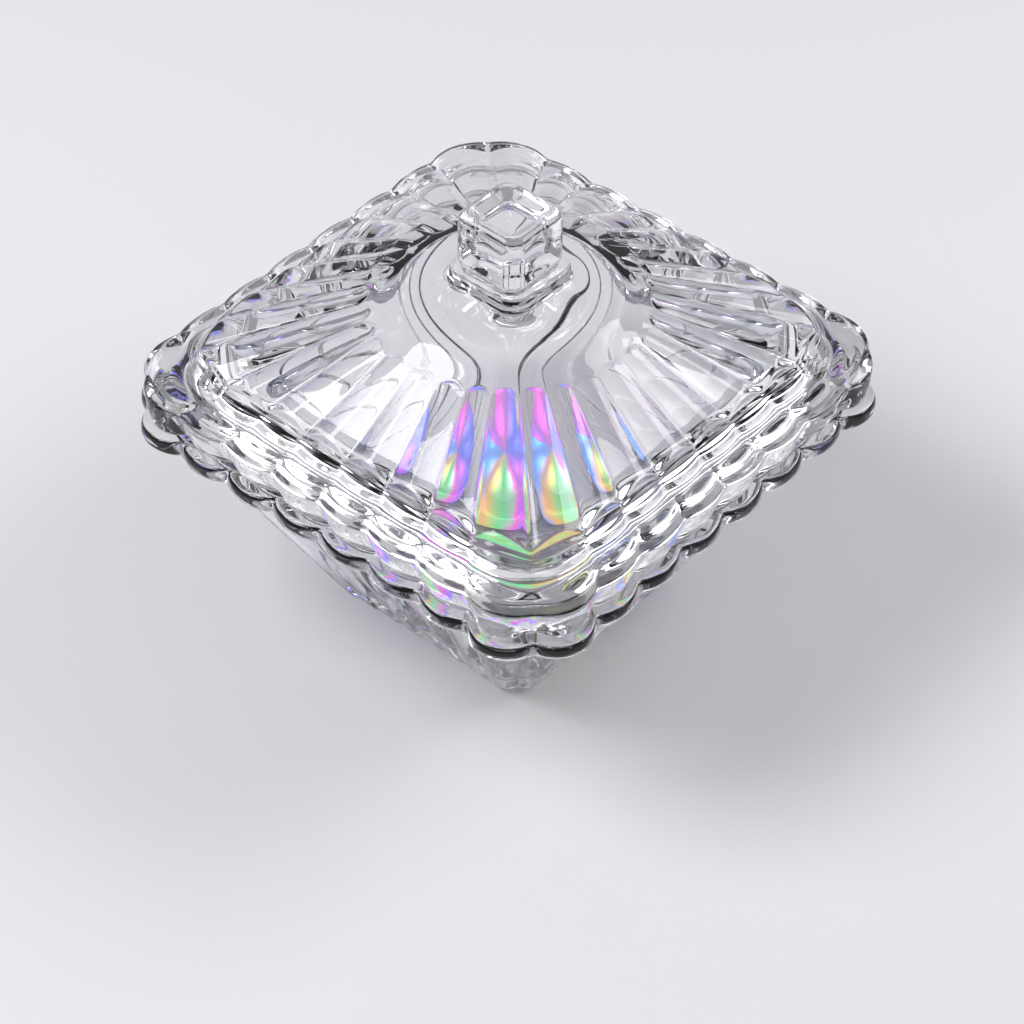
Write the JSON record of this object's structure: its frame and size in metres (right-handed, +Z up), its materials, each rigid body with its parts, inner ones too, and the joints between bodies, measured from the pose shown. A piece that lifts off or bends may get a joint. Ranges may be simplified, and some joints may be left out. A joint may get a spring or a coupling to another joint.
{
  "type": "covered glass candy box with a battery light",
  "caption": "Square fluted covered box in clear pressed glass with a cube knob; a small coin-cell light with coloured lamps stands inside and lights it.",
  "frame": {"origin": "centre of the bowl's foot, on the table", "axes": "+Z up; the sides of the square run along X and Y"},
  "size_m": [0.1342, 0.1342, 0.1132],
  "materials": {
    "glass": "clear pressed soda glass, fire-polished, very smooth",
    "white_plastic": "moulded white plastic with a fine satin",
    "black_plastic": "matt black moulding",
    "pad_rubber": "soft matt rubber",
    "cell_steel": "nickel-plated pressed steel",
    "contact_brass": "bright spring brass",
    "green_board": "green solder mask, half gloss",
    "reflector_white": "glossy white reflector",
    "led_blue": "lit blue lamp",
    "led_green": "lit green lamp",
    "led_pink": "lit pink lamp",
    "led_amber": "lit amber lamp",
    "screw_steel": "plated steel screws",
    "lens_plastic": "clear moulded acrylic"
  },
  "bodies": {
    "bowl": {"bowl": "glass"},
    "lid": {"lid": "glass"},
    "light": {"light_case": "white_plastic", "foot_pads": "pad_rubber", "coin_cell_lower": "cell_steel", "coin_cell_upper": "cell_steel", "cell_holder": "black_plastic", "centre_contact": "contact_brass", "edge_contact": "contact_brass", "circuit_board": "green_board", "reflector": "reflector_white", "blue_leds": "led_blue", "green_leds": "led_green", "pink_leds": "led_pink", "amber_leds": "led_amber", "driver_chip": "black_plastic", "resistors": "black_plastic", "push_switch": "black_plastic", "board_screws": "screw_steel"},
    "battery_cover": {"battery_cover": "white_plastic"},
    "lens_button": {"lens": "lens_plastic", "switch_plunger": "white_plastic"}
  },
  "joints": [
    {"name": "lid_lift", "type": "slide", "parent": "bowl", "child": "lid", "axis": [0, 0, 1], "range_m": [0, 0.1]},
    {"name": "light_lift", "type": "slide", "parent": "bowl", "child": "light", "axis": [0, 0, 1], "range_m": [0, 0.04]},
    {"name": "cover_turn", "type": "hinge", "parent": "light", "child": "battery_cover", "pos_m": [0, 0, 0.0113], "axis": [0, 0, 1], "range_deg": [0, 40]},
    {"name": "lens_press", "type": "slide", "parent": "light", "child": "lens_button", "axis": [0, 0, -1], "range_m": [0, 0.0008]}
  ]
}
